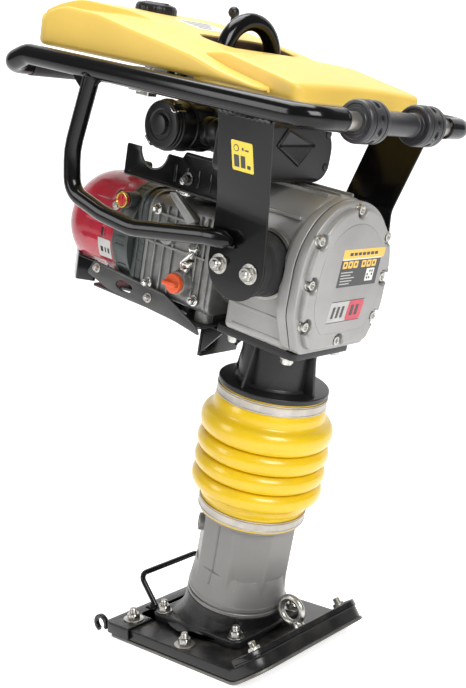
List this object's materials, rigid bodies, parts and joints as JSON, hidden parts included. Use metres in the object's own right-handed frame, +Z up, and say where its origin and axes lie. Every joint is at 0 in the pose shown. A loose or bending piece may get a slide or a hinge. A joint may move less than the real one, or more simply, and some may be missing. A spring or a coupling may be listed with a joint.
{
  "type": "jumping jack rammer",
  "caption": "Upright soil rammer: flat turned-up shoe, leaned spring leg in a ribbed gaiter, gear case, small engine, rubber-mounted handle loop with tank and rollers.",
  "frame": {"origin": "on the underside of the shoe, below the point where the leg axis meets the sole", "axes": "+X is the travel direction towards the turned-up toe, +Y the machine's left, +Z up"},
  "size_m": [0.6752, 0.412, 1.0504],
  "materials": {
    "wear_steel": "satin",
    "board_black": "satin",
    "black_paint": "gloss",
    "cast_black": "satin",
    "zinc": "satin",
    "light_grey_cast": "satin",
    "dark_grey_cast": "satin",
    "gaiter_yellow": "gloss",
    "band_steel": "satin",
    "sight_glass": "gloss",
    "spring_steel": "satin",
    "machined_steel": "satin",
    "gasket": "matte",
    "mount_rubber": "matte",
    "crimson_paint": "gloss",
    "black_plastic": "satin",
    "orange_plastic": "gloss",
    "muffler_steel": "satin",
    "tray_grey": "satin",
    "tank_yellow": "satin",
    "roller_plastic": "satin"
  },
  "bodies": {
    "foot": {"sole_plate": "wear_steel", "sole_board": "board_black", "front_strip": "black_paint", "rear_strip": "black_paint", "foot_casting": "cast_black", "shoe_bolts": "zinc", "eye_bolt": "zinc", "foot_loop": "black_paint", "leg_sleeve": "light_grey_cast", "sight_glass": "sight_glass", "ram_tube": "machined_steel", "lower_clamp": "band_steel", "gaiter": "gaiter_yellow", "ram_springs": "spring_steel"},
    "piston": {"spring_piston": "machined_steel"},
    "machine": {"guide_cylinder": "cast_black", "upper_clamp": "band_steel", "case_bolts": "zinc", "gear_case": "light_grey_cast", "cover_gasket": "gasket", "case_cover": "light_grey_cast", "cover_bolts": "zinc", "rubber_mounts": "mount_rubber", "crankcase": "light_grey_cast", "side_cover": "dark_grey_cast", "fan_housing": "dark_grey_cast", "recoil_housing": "crimson_paint", "engine_cylinder": "light_grey_cast", "carburettor": "light_grey_cast", "engine_shroud": "black_paint", "muffler": "muffler_steel", "spark_plug": "black_plastic", "air_cleaner_drum": "black_plastic", "air_cleaner_cap": "black_plastic", "air_box": "black_plastic", "engine_tray": "tray_grey", "rear_bumper": "black_paint", "tray_bracket": "black_paint"},
    "crank": {"crank_gear": "machined_steel"},
    "rod": {"connecting_rod": "machined_steel"},
    "clutch": {"clutch_pinion": "machined_steel"},
    "rotor": {"engine_rotor": "machined_steel"},
    "starter": {"recoil_grip": "black_plastic"},
    "stop_switch": {"stop_switch_knob": "crimson_paint"},
    "oil_filler_cap": {"oil_cap": "orange_plastic"},
    "handle": {"side_plates": "black_paint", "mount_bolts": "zinc", "side_rails": "black_paint", "rear_grip": "black_plastic", "roller_bar": "band_steel", "guard_tubes": "black_paint", "lifting_hoop": "black_paint", "fuel_tank": "tank_yellow", "fuel_tap": "zinc", "throttle_bracket": "black_paint"},
    "right_roller": {"near_roller": "roller_plastic"},
    "left_roller": {"far_roller": "roller_plastic"},
    "filler_cap": {"fuel_cap": "black_plastic"},
    "tap": {"tap_lever": "zinc"},
    "throttle": {"throttle_lever": "black_plastic"}
  },
  "joints": [
    {"name": "ram_stroke", "type": "slide", "parent": "foot", "child": "machine", "axis": [0.225, 0, 0.9744], "range_m": [0, 0.055], "deforming": ["gaiter"]},
    {"name": "piston_travel", "type": "slide", "parent": "foot", "child": "piston", "axis": [0.225, 0, 0.9744], "range_m": [-0.012, 0.012], "stiffness_N_per_m": 30000, "deforming": ["ram_springs"]},
    {"name": "crank_turn", "type": "hinge", "parent": "machine", "child": "crank", "pos_m": [0.12089, 0, 0.66939], "axis": [0.9744, 0, -0.225], "continuous": true},
    {"name": "rod_pivot", "type": "hinge", "parent": "crank", "child": "rod", "pos_m": [0.14172, 0, 0.64405], "axis": [0.9744, 0, -0.225], "continuous": true},
    {"name": "clutch_turn", "type": "hinge", "parent": "machine", "child": "clutch", "pos_m": [0.09037, 0, 0.59946], "axis": [0.9744, 0, -0.225], "continuous": true},
    {"name": "engine_turn", "type": "hinge", "parent": "machine", "child": "rotor", "pos_m": [-0.06553, 0, 0.63545], "axis": [0.9744, 0, -0.225], "continuous": true},
    {"name": "starter_pull", "type": "slide", "parent": "machine", "child": "starter", "axis": [0.225, 0, 0.9744], "range_m": [0, 0.06]},
    {"name": "stop_switch_turn", "type": "hinge", "parent": "machine", "child": "stop_switch", "pos_m": [-0.13687, -0.088, 0.71761], "axis": [0, 1, 0], "range_deg": [0, 60]},
    {"name": "oil_cap_turn", "type": "hinge", "parent": "machine", "child": "oil_filler_cap", "pos_m": [-0.02566, -0.092, 0.59033], "axis": [0, -1, 0], "range_deg": [0, 180]},
    {"name": "handle_rock", "type": "hinge", "parent": "machine", "child": "handle", "pos_m": [0.14809, 0, 0.62719], "axis": [0, 1, 0], "range_deg": [-2.5, 2.5], "stiffness_Nm_per_rad": 6000},
    {"name": "right_roller_turn", "type": "hinge", "parent": "handle", "child": "right_roller", "pos_m": [0.30937, -0.078, 0.81677], "axis": [0, 1, 0], "continuous": true},
    {"name": "left_roller_turn", "type": "hinge", "parent": "handle", "child": "left_roller", "pos_m": [0.30937, 0.064, 0.81677], "axis": [0, 1, 0], "continuous": true},
    {"name": "filler_cap_turn", "type": "hinge", "parent": "handle", "child": "filler_cap", "pos_m": [-0.14824, 0, 1.02402], "axis": [0.225, 0, 0.9744], "range_deg": [0, 120]},
    {"name": "tap_turn", "type": "hinge", "parent": "handle", "child": "tap", "pos_m": [-0.07195, -0.113, 0.88325], "axis": [0, 1, 0], "range_deg": [0, 90]},
    {"name": "throttle_turn", "type": "hinge", "parent": "handle", "child": "throttle", "pos_m": [-0.17021, 0.192, 0.96443], "axis": [0, 1, 0], "range_deg": [-30, 30]}
  ],
  "couplings": [
    {"joint": "rod_pivot", "follows": "crank_turn", "ratio": -1},
    {"joint": "clutch_turn", "follows": "crank_turn", "ratio": -4.7692}
  ]
}
